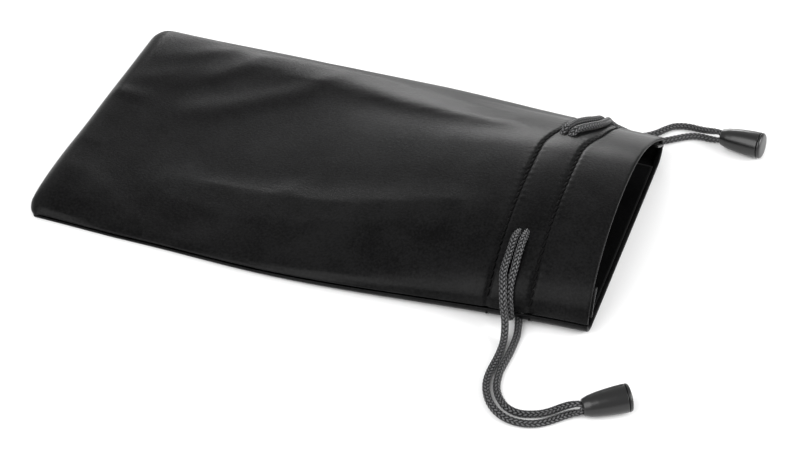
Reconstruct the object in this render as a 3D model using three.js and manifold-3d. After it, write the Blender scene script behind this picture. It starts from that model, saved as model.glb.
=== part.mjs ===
// A soft drawstring pouch for glasses, lying on its flat side with its mouth propped open.
// Millimetres, +Z up. +X points out of the mouth, the near side is -Y, and the origin is the middle of
// the base. Two cloth panels are sewn together on three sides. Each panel has a turned hem at the mouth
// with a channel in it. Two drawcords run through both channels, one pulled from each side, and a cord
// end with a snap-in cap hides the knot of each.
import * as THREE from "three";
import { mergeVertices } from "three/addons/utils/BufferGeometryUtils.js";
import Module from "manifold-3d";

const wasm = await Module();
wasm.setup();

// Cloth
const pouchLength = 165; // along the cloth, from the end seam to the mouth's edge
const panelWidth = 94.4; // across the cloth, from side seam to side seam
const clothThickness = 0.8;
const clearance = 0.3; // between pieces that touch
const outlineHalf = 47; // half the outline's width where it is widest
const mouthDrawIn = 6; // how far the bulge draws each side in at the mouth
const endSeamHeight = 2.1; // of the upper panel's edge at the closed end
const mouthSeamHeight = 6; // of the upper panel's edge at the mouth
const seamGroove = 1; // between the edges of the two panels
const cornerRadius = 3; // of the closed end's corners, seen from above
const endRoll = 6; // length over which the closed end rounds over
const pressIn = 1; // how far the drawcords press the far shoulder in
const pressDown = 1.6; // and down

// Hem and its channel, measured back from the mouth's edge
const frontRow = 15.8; // the stitch row nearer the mouth
const backRow = 27.8;
const hemDepth = 29.8;
const hemThickness = 0.6;
const threadRadius = 0.25;
const rowDrag = 2.4; // how far the far cords drag the upper rows toward the mouth at the far side

// Seam allowances inside the side and end seams
const allowanceWidth = 10;
const allowanceThickness = 0.6;
const allowancePeek = 1; // how far the side allowances reach out of the mouth

// Drawcords and cord ends
const cordRadius = 1.1;
const cordSteps = 84;
const cordLift = 2.1; // from the middle of the cloth to the middle of a cord beside it
const bellLength = 11.9;
const capLength = 13.2; // from the neck to the top of the cap's dome
const bellTilt = THREE.MathUtils.degToRad(5);

// Colours
const colours = { cloth: 0x1c1c1e, lining: 0x161617, thread: 0x0b0b0c, cord: 0x1a1a1b, plastic: 0x121213 };

const halfCloth = clothThickness / 2;

// 0 below from, 1 above to, and a smooth rise between.
function ramp(x, from, to) {
  const k = Math.min(Math.max((x - from) / (to - from), 0), 1);
  return k * k * (3 - 2 * k);
}

// Outline and section of the upper panel at s, the distance from the end seam along the cloth.
const nearHalf = (s) => outlineHalf - 0.9 * (1 - ramp(s, 0, 30)) - mouthDrawIn * ramp(s, 70, 170);
const farHalf = (s) => outlineHalf - mouthDrawIn * ramp(s, 40, 170);
const nearSeam = (s) => endSeamHeight + (mouthSeamHeight - endSeamHeight) * ramp(s, 20, 185);
const farSeam = (s) => endSeamHeight + (mouthSeamHeight - 0.6 - endSeamHeight) * ramp(s, 10, 170);
const crownPlace = (s) => 4.7 + 6 * ramp(s, 0, 50) - 12 * ramp(s, 80, 165);
const nearFullness = (s) => 2.7 - 0.8 * ramp(s, 0, 80) + 0.2 * ramp(s, 120, 165);
const farFullness = (s) => 2.7 - 0.8 * ramp(s, 0, 165);

// A quarter of a superellipse, from the seam (0) to the crown (1).
function quarter(k, seamY, seamZ, crownY, crownZ, fullness) {
  const across = Math.cos((k * Math.PI) / 2) ** (2 / fullness);
  const up = Math.sin((k * Math.PI) / 2) ** (2 / fullness);
  return [crownY + (seamY - crownY) * across, seamZ + (crownZ - seamZ) * up];
}

function arch(s, crownZ, steps = 28) {
  const y = crownPlace(s);
  const points = [];
  for (let i = 0; i <= steps; i++)
    points.push(quarter(i / steps, -nearHalf(s), nearSeam(s), y, crownZ, nearFullness(s)));
  for (let i = steps - 1; i >= 0; i--)
    points.push(quarter(i / steps, farHalf(s), farSeam(s), y, crownZ, farFullness(s)));
  return points;
}

function distances(points) {
  const along = [0];
  for (let i = 1; i < points.length; i++)
    along.push(along[i - 1] + Math.hypot(points[i][0] - points[i - 1][0], points[i][1] - points[i - 1][1]));
  return along;
}

// The arch whose length is the panel's width: the crown rises as the sides draw in.
function panelArch(s) {
  let low = mouthSeamHeight * 0.3 + 2;
  let high = 60;
  for (let i = 0; i < 40; i++) {
    const middle = (low + high) / 2;
    if (distances(arch(s, middle)).at(-1) > panelWidth) high = middle;
    else low = middle;
  }
  return arch(s, low);
}

const gridStep = 2.5;
const gridRows = pouchLength / gridStep + 1;
const gridColumns = 49;

// The upper panel's middle surface: rows along the pouch, columns from the near seam to the far seam.
function upperSurface() {
  const rows = [];
  for (let i = 0; i < gridRows; i++) {
    const s = i * gridStep;
    const points = panelArch(s);
    const along = distances(points);
    const row = [];
    for (let j = 0, k = 0; j < gridColumns; j++) {
      const want = (along.at(-1) * j) / (gridColumns - 1);
      while (k < points.length - 2 && along[k + 1] < want) k++;
      const w = (want - along[k]) / (along[k + 1] - along[k]);
      const y = points[k][0] + (points[k + 1][0] - points[k][0]) * w;
      const z = points[k][1] + (points[k + 1][1] - points[k][1]) * w;
      const back = rows.length ? rows[i - 1][j] : null;
      const advance = back ? Math.sqrt(Math.max(gridStep ** 2 - (y - back.y) ** 2 - (z - back.z) ** 2, 0)) : 0;
      row.push(new THREE.Vector3(back ? back.x + advance : 0, y, z));
    }
    rows.push(row);
  }
  return rows;
}

const surface = upperSurface();
const halfLength = Math.max(...surface.at(-1).map((p) => p.x)) / 2;

// How far a corner of the closed end is set in at s, at a distance in from the side.
function cornerShift(s, side) {
  return cornerRadius * Math.max(1 - side / (2 * cornerRadius), 0) ** 2 * Math.max(1 - s / 10, 0) ** 2;
}

// How much of the press of the drawcords, pulled over the far side, the cloth feels at (s, t).
const press = (s, t) => ramp(s, 92, 128) * ramp(t, 0.6, 0.88) * (1 - ramp(t, 0.91, 1));

// Presses the far shoulder down and in, rounds the closed end over, and its corners, and puts the origin
// in the middle of the base.
surface.forEach((row, i) => {
  const s = i * gridStep;
  const roll = s < endRoll ? 0.3 + 0.7 * Math.sqrt(1 - (1 - s / endRoll) ** 2) : 1;
  row.forEach((p, j) => {
    const side = (panelWidth * Math.min(j, gridColumns - 1 - j)) / (gridColumns - 1);
    const pressed = press(s, j / (gridColumns - 1));
    p.x += cornerShift(s, side) - halfLength;
    p.y -= pressIn * pressed;
    p.z -= pressDown * pressed;
    p.z = endSeamHeight + (p.z - endSeamHeight) * roll;
  });
});

// A point of the upper panel at s along and t across (0 near seam, 1 far seam), lifted off its middle
// surface. Past the mouth's edge it carries straight on.
function onCloth(s, t, lift = 0) {
  const i = Math.min(Math.floor(s / gridStep), gridRows - 2);
  const j = Math.min(Math.floor(t * (gridColumns - 1)), gridColumns - 2);
  const u = s / gridStep - i;
  const v = t * (gridColumns - 1) - j;
  const [a, b] = [surface[i][j], surface[i + 1][j]];
  const [c, d] = [surface[i][j + 1], surface[i + 1][j + 1]];
  const point = a.clone().lerp(b, u).lerp(c.clone().lerp(d, u), v);
  if (!lift) return point;
  const forward = b.clone().sub(a).lerp(d.clone().sub(c), v);
  const sideways = c.clone().sub(a).lerp(d.clone().sub(b), u);
  return point.addScaledVector(forward.cross(sideways).normalize(), lift);
}

// A closed sheet: at(row, column, face) gives a point of the outer face (0) or the inner face (1).
function sheet(rows, columns, at) {
  const positions = [];
  const index = [];
  for (const face of [0, 1])
    for (const row of rows) for (const column of columns) positions.push(...at(row, column, face).toArray());
  const id = (i, j, face) => (face * rows.length + i) * columns.length + j;
  const quad = (a, b, c, d) => index.push(a, b, c, a, c, d);
  const [m, n] = [rows.length - 1, columns.length - 1];
  for (let i = 0; i < m; i++)
    for (let j = 0; j < n; j++) {
      quad(id(i, j, 0), id(i + 1, j, 0), id(i + 1, j + 1, 0), id(i, j + 1, 0));
      quad(id(i, j, 1), id(i, j + 1, 1), id(i + 1, j + 1, 1), id(i + 1, j, 1));
    }
  for (let i = 0; i < m; i++) {
    quad(id(i, 0, 0), id(i, 0, 1), id(i + 1, 0, 1), id(i + 1, 0, 0));
    quad(id(i, n, 0), id(i + 1, n, 0), id(i + 1, n, 1), id(i, n, 1));
  }
  for (let j = 0; j < n; j++) {
    quad(id(0, j, 0), id(0, j + 1, 0), id(0, j + 1, 1), id(0, j, 1));
    quad(id(m, j, 0), id(m, j, 1), id(m, j + 1, 1), id(m, j + 1, 0));
  }
  const geometry = new THREE.BufferGeometry();
  geometry.setAttribute("position", new THREE.Float32BufferAttribute(positions, 3));
  geometry.setIndex(index);
  return geometry;
}

// count + 1 even steps from a to b
const steps = (a, b, count) => Array.from({ length: count + 1 }, (_, i) => a + ((b - a) * i) / count);

// A round tube along a smooth curve through the points.
function tube(points, radius, count, sides = 6) {
  const section = steps(0, 2 * Math.PI, sides).slice(0, -1);
  const outline = section.map((a) => new THREE.Vector2(radius * Math.cos(a), radius * Math.sin(a)));
  const extrudePath = new THREE.CatmullRomCurve3(points, false, "centripetal");
  return new THREE.ExtrudeGeometry(new THREE.Shape(outline), { steps: count, extrudePath, bevelEnabled: false });
}

function toSolid(geometry) {
  const bare = geometry.clone();
  bare.deleteAttribute("normal");
  bare.deleteAttribute("uv");
  const merged = mergeVertices(bare, 1e-3);
  const vertProperties = new Float32Array(merged.attributes.position.array);
  const triVerts = new Uint32Array(merged.index.array);
  return new wasm.Manifold(new wasm.Mesh({ numProp: 3, vertProperties, triVerts }));
}

function cut(geometry, cutters) {
  const solid = cutters.reduce((body, cutter) => body.subtract(toSolid(cutter)), toSolid(geometry));
  const mesh = solid.getMesh();
  const result = new THREE.BufferGeometry();
  result.setAttribute("position", new THREE.BufferAttribute(mesh.vertProperties, 3));
  result.setIndex(new THREE.BufferAttribute(mesh.triVerts, 1));
  return result;
}

// Upper panel
function upperPanel() {
  const rows = [0, 1, 2.5, 5, 10, 20, 30, 40, 50, 60, 70, 80, 90, 100, 110, 120, 130, 139, 148, 157, 165];
  const columns = [0, 0.025, 0.06, 0.1, ...steps(0.15, 0.85, 14), 0.9, 0.94, 0.975, 1];
  return sheet(rows, columns, (s, t, face) => onCloth(s, t, face ? -halfCloth : halfCloth));
}

// Lower panel: flat on its base, with its sides turned up to the seams.
const sideRun = 1.3; // run of the turned-up side, as a share of its rise

function lowerPoint(s, column, face) {
  const inset = face * clothThickness;
  const side = (half, seam, k) => {
    const rise = seam - seamGroove;
    const run = rise * sideRun;
    const angle = (k * Math.PI) / 2;
    return [half + halfCloth - run + (run - inset) * Math.cos(angle), rise - (rise - inset) * Math.sin(angle)];
  };
  const [nearY, nearZ] = side(nearHalf(s), nearSeam(s), Math.min(column, 1));
  const [farY, farZ] = side(farHalf(s), farSeam(s), Math.min(3 - column, 1));
  const across = Math.min(Math.max(column - 1, 0), 1);
  const y = farY * across - nearY * (1 - across);
  const fromSide = Math.min(nearHalf(s) + y, farHalf(s) - y) + halfCloth;
  const x = onCloth(s, 0).x * (1 - across) + onCloth(s, 1).x * across - cornerShift(s, 0) + cornerShift(s, fromSide);
  return new THREE.Vector3(x, y, column < 1 ? nearZ : column > 2 ? farZ : inset);
}

function lowerPanel() {
  const rows = [0, 2.5, 5, 10, 25, 40, 55, 70, 85, 100, 115, 130, 139, 148, 157, 165];
  const columns = [...steps(0, 1, 4), ...steps(1, 2, 6).slice(1), ...steps(2, 3, 4).slice(1)];
  return sheet(rows, columns.reverse(), lowerPoint);
}

// How far the hem's middle lies inside the panel's middle, at a distance back from the mouth's edge: close
// to the panel in the header, and a cord's thickness away in the channel.
const hemGap = halfCloth + clearance + hemThickness / 2;
const channelGap = cordLift + cordRadius + 0.4 + hemThickness / 2;
const hemInside = (back) => hemGap + (channelGap - hemGap) * ramp(back, 16.4, 18.8) * (1 - ramp(back, 24.8, 27.2));
const hemRows = [hemDepth, 27.2, 26, 24.8, 21.8, 18.8, 17.6, 16.4, 7.5, 0.4];
const allowanceShare = allowanceWidth / panelWidth;
const sideColumns = [0.02, 0.05, 0.09, allowanceShare];

function upperHem() {
  const columns = [...sideColumns, ...steps(0.15, 0.85, 11), ...sideColumns.map((t) => 1 - t).reverse()];
  return sheet(hemRows, columns, (back, t, face) => {
    const half = face ? -hemThickness / 2 : hemThickness / 2;
    return onCloth(pouchLength - back, t, half - hemInside(back));
  });
}

function lowerHem() {
  return sheet(hemRows, steps(1.04, 1.96, 6), (back, column, face) => {
    const point = lowerPoint(pouchLength - back, column, 0);
    point.z = halfCloth + hemInside(back) + (face ? -hemThickness / 2 : hemThickness / 2);
    return point;
  });
}

// Seam allowances. The side ones lie inside the panel and over the hem, and reach a little out of the
// mouth. The end one lies inside the closed end.
function sideAllowance(edge) {
  const overHem = hemRows.slice(0, -1).map((back) => pouchLength - back);
  const rows = [8, 25, 45, 65, 85, 105, 125, 132, ...overHem, pouchLength + allowancePeek];
  const columns = edge === "near" ? sideColumns : sideColumns.map((t) => 1 - t).reverse();
  return sheet(rows, columns, (s, t, face) => {
    const back = pouchLength - s;
    const past = ramp(s, 125, 132) * (hemInside(Math.max(back, 0)) + hemThickness / 2 - halfCloth);
    const inside = halfCloth + clearance + past + (face ? allowanceThickness : 0);
    return onCloth(s, t, -inside);
  });
}

function endAllowance() {
  const rows = [1.6, 3.5, 7.4];
  return sheet(rows, steps(0.05, 0.95, 12), (s, t, face) => {
    return onCloth(s, t, -(halfCloth + clearance + (face ? allowanceThickness : 0)));
  });
}

// Threads
function upperRow(back) {
  const lift = halfCloth + clearance + threadRadius;
  const points = steps(0.03, 0.97, 24).map((t) => {
    return onCloth(pouchLength - back + rowDrag * ramp(t, 0.62, 0.8), t, lift);
  });
  return tube(points, threadRadius, 32);
}

function lowerRow(back) {
  const height = halfCloth + hemInside(back) + hemThickness / 2 + clearance + threadRadius;
  const points = steps(1.05, 1.95, 3).map((column) => {
    return lowerPoint(pouchLength - back, column, 0).setZ(height);
  });
  return tube(points, threadRadius, 6);
}

// One thread, sewn from the mouth round the closed end and back, in the groove between the panels.
function seamThread() {
  const stations = [164, 150, 135, 115, 95, 75, 55, 35, 20, 10];
  const radius = 0.18;
  const side = (t, seam) => (s) => onCloth(s, t).setZ(seam(s) - seamGroove / 2);
  const near = stations.map(side(0, nearSeam));
  const far = stations.toReversed().map(side(1, farSeam));
  const end = steps(0.08, 0.92, 6).map((t) => onCloth(0.8, t).setZ(1.22));
  return tube([...near, ...end, ...far], radius, 90);
}

// Drawcords. Each route is a list of points: [x, y, z] where the cord is free, and cloth(s, t, lift) where
// it lies on the upper panel (lift above 0) or in its channel (below 0).
const cloth = (s, t, lift) => onCloth(s, t, lift);
const free = (x, y, z) => new THREE.Vector3(x, y, z);

const nearRoute = [
  // from the cord end to the near edge
  free(89, -69.3, 1.75),
  free(87.2, -69.9, 1.25),
  free(85.4, -71.3, 1.15),
  free(83.3, -73.4, 1.15),
  free(81.2, -75.3, 1.15),
  free(78.9, -76.7, 1.15),
  free(76, -77.6, 1.15),
  free(73.1, -77.7, 1.15),
  free(70.4, -77.1, 1.15),
  free(67.9, -75.7, 1.15),
  free(65.7, -73.6, 1.15),
  free(64, -71, 1.15),
  free(62.8, -68.1, 1.15),
  free(62.2, -65, 1.15),
  free(62.1, -61.8, 1.15),
  free(62.3, -58.2, 1.15),
  free(62.4, -54.4, 1.2),
  free(62.2, -50.9, 1.5),
  free(61.8, -48.6, 2.7),
  free(61.2, -46.6, 4.8),
  free(60.6, -45.5, 6.8),
  free(60.2, -45.1, 8.6),
  free(59.8, -44.5, 10.4),
  // up the near side, in at the near hole and through the upper channel
  free(59.1, -42.6, 12.7),
  cloth(140.9, 0.097, 2.7),
  cloth(140.9, 0.126, 2.4),
  cloth(141.1, 0.151, 2.2),
  cloth(141.2, 0.181, 2.1),
  cloth(141.2, 0.212, 1.7),
  cloth(141.3, 0.245, 0),
  cloth(141.4, 0.285, -cordLift),
  cloth(141.4, 0.34, -cordLift),
  cloth(141.4, 0.41, -cordLift),
  cloth(141.4, 0.48, -cordLift),
  cloth(141.4, 0.55, -cordLift),
  cloth(141.4, 0.61, -cordLift),
  // out at the far hole, over the far edge and in at the lower far hole
  cloth(141.2, 0.66, -cordLift),
  cloth(140.9, 0.715, 0),
  cloth(141.3, 0.738, 1.6),
  cloth(141.6, 0.764, 1.8),
  cloth(142, 0.798, 1.8),
  cloth(142.9, 0.833, 1.8),
  cloth(144, 0.871, 1.8),
  cloth(144.8, 0.905, 1.75),
  cloth(145.3, 0.935, 1.75),
  cloth(145.8, 0.965, 1.8),
  free(64, 43.9, 6),
  free(63.9, 45.1, 4.6),
  free(63.8, 45.2, 3.3),
  free(63.1, 43.2, 2.4),
  // through the lower channel to the near side, and back to the cord end along the floor
  free(62.7, 38, 2.3),
  free(62.7, 25, 2.3),
  free(62.7, 12, 2.3),
  free(62.7, 0, 2.3),
  free(62.7, -12, 2.3),
  free(62.7, -25, 2.3),
  free(62.7, -36, 2.3),
  free(63.3, -40.2, 2),
  free(64.1, -43.4, 1.5),
  free(64.8, -46.8, 1.15),
  free(65, -50.1, 1.15),
  free(65, -53.9, 1.15),
  free(64.8, -57.7, 1.15),
  free(64.6, -61, 1.15),
  free(64.8, -63.9, 1.15),
  free(65.3, -66.7, 1.15),
  free(66.3, -69.2, 1.15),
  free(67.9, -71.5, 1.15),
  free(69.8, -73.3, 1.15),
  free(72.2, -74.3, 1.15),
  free(74.6, -74.4, 1.15),
  free(77.1, -73.7, 1.15),
  free(79.5, -72.6, 1.15),
  free(81.7, -71, 1.3),
  free(83.8, -69.8, 2.1),
  free(86.2, -69.1, 3.3),
  free(88.6, -68.7, 4),
];

const farRoute = [
  // from the cord end to the far edge
  free(97.3, 53, 4.1),
  free(95, 54, 3.2),
  free(92.5, 55, 2.1),
  free(90.2, 55.8, 1.4),
  free(87.9, 56.2, 1.15),
  free(85.3, 55.8, 1.15),
  free(83, 54.8, 1.15),
  free(80.9, 52.6, 1.15),
  free(79.2, 50.4, 1.15),
  free(77.4, 48.6, 1.15),
  free(75.4, 47.3, 1.15),
  free(73.1, 46.6, 1.35),
  free(71, 46.2, 2.1),
  free(69.3, 45.4, 3.3),
  free(67.6, 44.4, 4.7),
  free(66.5, 43.4, 6.3),
  // over the far edge, in at the far hole and through the upper channel
  cloth(148.3, 0.965, 1.8),
  cloth(148.7, 0.93, 1.75),
  cloth(148.9, 0.895, 1.75),
  cloth(148.8, 0.862, 1.75),
  cloth(148.3, 0.835, 1.75),
  cloth(147.4, 0.81, 1.8),
  cloth(146.4, 0.783, 1.85),
  cloth(145.3, 0.756, 1.85),
  cloth(144.3, 0.73, 1.6),
  cloth(143.4, 0.708, 0),
  cloth(143.7, 0.65, -cordLift),
  cloth(143.8, 0.61, -cordLift),
  cloth(143.8, 0.55, -cordLift),
  cloth(143.8, 0.48, -cordLift),
  cloth(143.8, 0.41, -cordLift),
  cloth(143.8, 0.34, -cordLift),
  // out at the near hole, down the near side and in at the lower near hole
  cloth(143.8, 0.285, -cordLift),
  cloth(143.6, 0.245, 0),
  cloth(143.6, 0.207, 1.7),
  cloth(143.6, 0.175, 2.1),
  cloth(143.5, 0.146, 2.1),
  cloth(143.5, 0.118, 2.1),
  cloth(143.3, 0.092, 2),
  cloth(143.3, 0.062, 1.9),
  cloth(143.6, 0.035, 1.9),
  free(61.3, -43.1, 7.5),
  free(61.6, -43.4, 5.5),
  free(61.7, -43.2, 3.7),
  free(61, -41.6, 2.6),
  // through the lower channel, out at the lower far hole and round to the cord end
  free(60.2, -37, 2.3),
  free(60.2, -25, 2.3),
  free(60.2, -12, 2.3),
  free(60.2, 0, 2.3),
  free(60.2, 12, 2.3),
  free(60.2, 25, 2.3),
  free(60.2, 38, 2.3),
  free(60.4, 43, 2.1),
  free(61.4, 46, 1.6),
  free(63.3, 48, 1.15),
  free(65.6, 47.6, 1.15),
  free(67.4, 45.6, 1.15),
  free(69.1, 44, 1.15),
  free(71.3, 43.3, 1.15),
  free(73.9, 43.3, 1.15),
  free(76.3, 44.1, 1.15),
  free(78.6, 45.2, 1.15),
  free(80.8, 46.6, 1.15),
  free(83, 48, 1.15),
  free(85, 49.5, 1.15),
  free(87.1, 51, 1.15),
  free(89.3, 52.2, 1.15),
  free(91.8, 52.7, 1.15),
  free(94.5, 52.5, 1.25),
  free(97.4, 52.2, 1.85),
];

const drawcord = (route) => tube(route, cordRadius, cordSteps, 8);
const cordPassage = (route) => tube(route, cordRadius + 0.35, cordSteps, 8);

// Cord ends. Radii are listed along the axis from the neck.
const turned = (profile) => new THREE.LatheGeometry(profile.map(([r, a]) => new THREE.Vector2(r, a)), 20);

const bellOutside = [
  [2.1, 0],
  [2.4, 0.35],
  [2.9, 1.9],
  [3.3, 4],
  [3.6, 6.5],
  [3.8, 9],
  [3.88, bellLength],
];

const bellInside = [
  [3.1, bellLength],
  [3.1, 6.2],
  [2.5, 4.9],
  [1.75, 4.2],
  [1.75, 0],
];

const bell = () => turned([...bellOutside, ...bellInside, bellOutside[0]]);

const cap = () =>
  turned([
    [0, 10.7],
    [2.8, 10.7],
    [2.8, bellLength + clearance],
    [3.88, bellLength + clearance],
    [3.75, 12.7],
    [3, 13.05],
    [1.5, capLength - 0.03],
    [0, capLength],
  ]);

const knot = () =>
  turned([
    [0, 0.4],
    [1.35, 0.4],
    [1.35, 4.6],
    [2.3, 6.4],
    [2.5, 7.5],
    [2.2, 9],
    [1.1, 10],
    [0, 10],
  ]);

// Turns a cord end's axis to its heading, tipped up so that it lies on its side on the floor.
function layCordEnd(pieces, x, y, heading) {
  const group = new THREE.Group();
  const direction = new THREE.Vector3(
    Math.cos(bellTilt) * Math.cos(heading),
    Math.cos(bellTilt) * Math.sin(heading),
    Math.sin(bellTilt),
  );
  const drop = bellOutside.map(([r, a]) => r * Math.cos(bellTilt) - a * Math.sin(bellTilt));
  group.quaternion.setFromUnitVectors(new THREE.Vector3(0, 1, 0), direction);
  group.position.set(x, y, Math.max(...drop));
  group.add(...pieces);
  return group;
}

function piece(name, geometry, color, roughness) {
  const mesh = new THREE.Mesh(geometry, new THREE.MeshStandardMaterial({ color, roughness, metalness: 0 }));
  mesh.name = name;
  return mesh;
}

function cordEnd(side, x, y, heading) {
  const pieces = [
    piece(side + "_cord_end", bell(), colours.plastic, 0.35),
    piece(side + "_cord_end_cap", cap(), colours.plastic, 0.35),
    piece(side + "_knot", knot(), colours.cord, 0.8),
  ];
  return layCordEnd(pieces, x, y, heading);
}

const pouch = new THREE.Group();
const passages = [cordPassage(nearRoute), cordPassage(farRoute)];
pouch.add(
  piece("upper_panel", cut(upperPanel(), passages), colours.cloth, 0.9),
  piece("lower_panel", cut(lowerPanel(), passages), colours.cloth, 0.9),
  piece("upper_hem", upperHem(), colours.lining, 0.9),
  piece("lower_hem", lowerHem(), colours.lining, 0.9),
  piece("near_seam_allowance", sideAllowance("near"), colours.lining, 0.9),
  piece("far_seam_allowance", sideAllowance("far"), colours.lining, 0.9),
  piece("end_seam_allowance", endAllowance(), colours.lining, 0.9),
  piece("upper_front_stitching", upperRow(frontRow), colours.thread, 0.6),
  piece("upper_back_stitching", upperRow(backRow), colours.thread, 0.6),
  piece("lower_front_stitching", lowerRow(frontRow), colours.thread, 0.6),
  piece("lower_back_stitching", lowerRow(backRow), colours.thread, 0.6),
  piece("seam_thread", seamThread(), colours.thread, 0.6),
  piece("near_drawcord", drawcord(nearRoute), colours.cord, 0.8),
  piece("far_drawcord", drawcord(farRoute), colours.cord, 0.8),
  cordEnd("near", 89.25, -68.86, THREE.MathUtils.degToRad(31.5)),
  cordEnd("far", 97.87, 52.54, THREE.MathUtils.degToRad(-7.7)),
);

export default pouch;
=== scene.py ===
"""The looks of a soft drawstring pouch for glasses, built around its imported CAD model.

Lengths are millimetres until a mesh is made, and metres from there on. +X points out of the mouth,
the near side is -Y and +Z is up. s is the distance along the cloth from the end seam, and t runs
across it from the near seam (0) to the far seam (1).
"""

import math

import bpy
import numpy as np
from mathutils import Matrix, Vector


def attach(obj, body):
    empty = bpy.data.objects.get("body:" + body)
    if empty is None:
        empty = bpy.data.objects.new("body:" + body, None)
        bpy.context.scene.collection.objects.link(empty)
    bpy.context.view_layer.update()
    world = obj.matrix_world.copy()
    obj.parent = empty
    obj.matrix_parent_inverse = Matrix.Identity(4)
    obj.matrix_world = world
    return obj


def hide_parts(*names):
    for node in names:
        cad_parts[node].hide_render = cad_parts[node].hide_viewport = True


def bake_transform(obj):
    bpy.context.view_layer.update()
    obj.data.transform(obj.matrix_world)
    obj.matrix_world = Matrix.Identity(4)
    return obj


MM = 0.001

# Cloth, as in the CAD model
POUCH_LENGTH = 165.0
PANEL_WIDTH = 94.4
HALF_CLOTH = 0.4
OUTLINE_HALF = 47.0
MOUTH_DRAW_IN = 6.0
END_SEAM = 2.1
MOUTH_SEAM = 6.0
SEAM_GROOVE = 1.0
CORNER_RADIUS = 3.0
END_ROLL = 6.0
PRESS_IN = 1.0  # how far the drawcords press the far side in, and down
PRESS_DOWN = 1.6
ROW_DRAG = 2.4  # how far the drawcords drag the upper stitch rows toward the mouth
SIDE_RUN = 1.3
GRID_STEP = 2.5
GRID_COLUMNS = 49
FRONT_ROW = 15.8
BACK_ROW = 27.8
HEM_DEPTH = 29.8
ALLOWANCE_SHARE = 10.0 / PANEL_WIDTH

# Cords, as in the CAD model
CORD_RADIUS = 1.1
CORD_LIFT = 2.1
BELL_TILT = math.radians(5)

# Looks
CLOTH_THICKNESS = 0.35
UPPER_END = 1.15  # height of the upper panel's closed end, where it meets the lower panel
MOST_DRAPE = 0.6  # the furthest that the simulation may move the cloth
LIP_RADIUS = 0.5
SEAM_ROLL = 0.3
ROW_DEPTH = 0.4  # depth of the groove that a stitch row pulls into the cloth
STITCH_PITCH = 2.5
STITCH_GAP = 0.12
FRONT_SHIFT = 0.3  # where the first stitch of the upper front row starts, and of the upper back row
BACK_SHIFT = 1.2
CARRIERS = 8  # yarns of the braid in each direction
BRAID_LAY = 10.0  # length over which a yarn goes once round the cord
BRAID_RADII = (0.85, 0.76)  # of the line that the yarns wind round, sideways and upward
YARN_RISE = 0.12  # how far a yarn rises over the ones that it crosses
YARN_WIDE, YARN_THICK = 0.28, 0.13

rng = np.random.default_rng(11)

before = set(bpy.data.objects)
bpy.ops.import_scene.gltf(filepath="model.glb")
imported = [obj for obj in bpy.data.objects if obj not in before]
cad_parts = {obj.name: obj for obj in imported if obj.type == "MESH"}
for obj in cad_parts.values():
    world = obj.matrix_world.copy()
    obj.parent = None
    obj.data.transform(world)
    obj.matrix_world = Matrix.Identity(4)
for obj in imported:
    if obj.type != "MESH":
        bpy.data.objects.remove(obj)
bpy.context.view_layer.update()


# Shape of the cloth

COARSE_S = np.arange(0, POUCH_LENGTH + 0.1, GRID_STEP)
COARSE_T = np.linspace(0, 1, GRID_COLUMNS)


def ramp(x, start, end):
    k = np.clip((np.asarray(x, float) - start) / (end - start), 0, 1)
    return k * k * (3 - 2 * k)


def bump(x, centre, width):
    return np.exp(-(((np.asarray(x, float) - centre) / width) ** 2))


def near_half(s):
    return OUTLINE_HALF - 0.9 * (1 - ramp(s, 0, 30)) - MOUTH_DRAW_IN * ramp(s, 70, 170)


def far_half(s):
    return OUTLINE_HALF - MOUTH_DRAW_IN * ramp(s, 40, 170)


def near_seam(s):
    return END_SEAM + (MOUTH_SEAM - END_SEAM) * ramp(s, 20, 185)


def far_seam(s):
    return END_SEAM + (MOUTH_SEAM - 0.6 - END_SEAM) * ramp(s, 10, 170)


def crown_place(s):
    return 4.7 + 6 * ramp(s, 0, 50) - 12 * ramp(s, 80, 165)


def arches(s, crown, steps=28):
    """The section at each s: (y, z) points from the near seam, over the crown, to the far seam."""
    k = np.linspace(0, 1, steps + 1) * math.pi / 2
    y = crown_place(s)

    def quarter(half, seam, fullness):
        across = np.cos(k)[None, :].clip(0) ** (2 / fullness)[:, None]
        up = np.sin(k)[None, :] ** (2 / fullness)[:, None]
        out = y[:, None] + (half - y)[:, None] * across
        return np.stack([out, seam[:, None] + (crown - seam)[:, None] * up], -1)

    near = quarter(-near_half(s), near_seam(s), 2.7 - 0.8 * ramp(s, 0, 80) + 0.2 * ramp(s, 120, 165))
    far = quarter(far_half(s), far_seam(s), 2.7 - 0.8 * ramp(s, 0, 165))
    return np.concatenate([near, far[:, -2::-1]], 1)


def along(points):
    """Distance along each line of points, which runs on the second-last axis."""
    gaps = np.linalg.norm(np.diff(points, axis=-2), axis=-1)
    return np.concatenate([np.zeros(gaps.shape[:-1] + (1,)), np.cumsum(gaps, -1)], -1)


def middle_surface():
    """Rows of the upper panel's middle surface. Every arch is as long as the panel is wide."""
    low = np.full(len(COARSE_S), 3.8)
    high = np.full(len(COARSE_S), 60.0)
    for _ in range(40):
        middle = (low + high) / 2
        long = along(arches(COARSE_S, middle))[:, -1] > PANEL_WIDTH
        high = np.where(long, middle, high)
        low = np.where(long, low, middle)
    lines = arches(COARSE_S, low)
    grid = np.zeros((len(COARSE_S), GRID_COLUMNS, 3))
    for i, (line, far) in enumerate(zip(lines, along(lines))):
        grid[i, :, 1] = np.interp(COARSE_T * far[-1], far, line[:, 0])
        grid[i, :, 2] = np.interp(COARSE_T * far[-1], far, line[:, 1])
    rise = np.diff(grid[:, :, 1:], axis=0)
    advance = np.sqrt(np.clip(GRID_STEP**2 - (rise**2).sum(-1), 0, None))
    grid[1:, :, 0] = np.cumsum(advance, 0)
    return grid


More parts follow.
